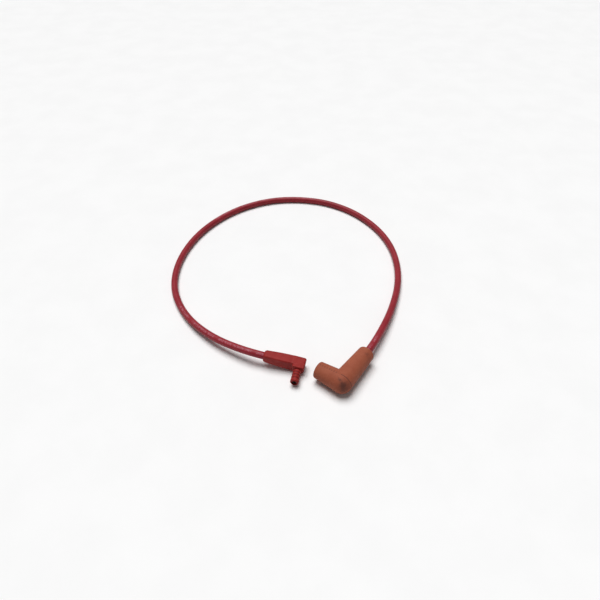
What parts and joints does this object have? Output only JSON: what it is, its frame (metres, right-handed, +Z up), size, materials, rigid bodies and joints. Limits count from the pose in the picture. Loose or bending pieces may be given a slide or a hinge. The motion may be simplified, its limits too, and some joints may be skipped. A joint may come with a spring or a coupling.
{
  "type": "ignition lead",
  "caption": "High-voltage ignition lead: silicone cable with a moulded right-angle plug for the spark generator and a silicone elbow boot for the ignition electrode.",
  "frame": {"origin": "centre of the two connectors' box, on the surface that the lead lies on", "axes": "+Z up from that surface; +X across both connectors, from the plug to the boot; +Y from the connectors to the far side of the cable's loop"},
  "size_m": [0.2511, 0.3228, 0.02],
  "materials": {
    "cable_silicone": "semi-gloss silicone",
    "plug_moulding": "satin moulded rubber",
    "boot_silicone": "matte silicone",
    "tinned_copper": "tinned strands",
    "brass": "satin",
    "tinned_brass": "satin",
    "zinc_steel": "zinc plated",
    "spring_steel": "bright spring steel"
  },
  "bodies": {
    "lead": {"cable_jacket": "cable_silicone", "cable_core": "tinned_copper", "plug_housing": "plug_moulding", "plug_terminal": "brass", "plug_contact": "tinned_brass", "plug_contact_clip": "spring_steel"},
    "boot": {"electrode_boot": "boot_silicone", "boot_terminal": "brass", "cable_spike": "zinc_steel", "electrode_socket": "tinned_brass", "socket_clip": "spring_steel"}
  },
  "joints": [
    {"name": "boot_swivel", "type": "hinge", "parent": "lead", "child": "boot", "pos_m": [0.03268, 0.00341, 0.01], "axis": [0.5807, 0.8141, 0], "range_deg": [-180, 180]}
  ]
}
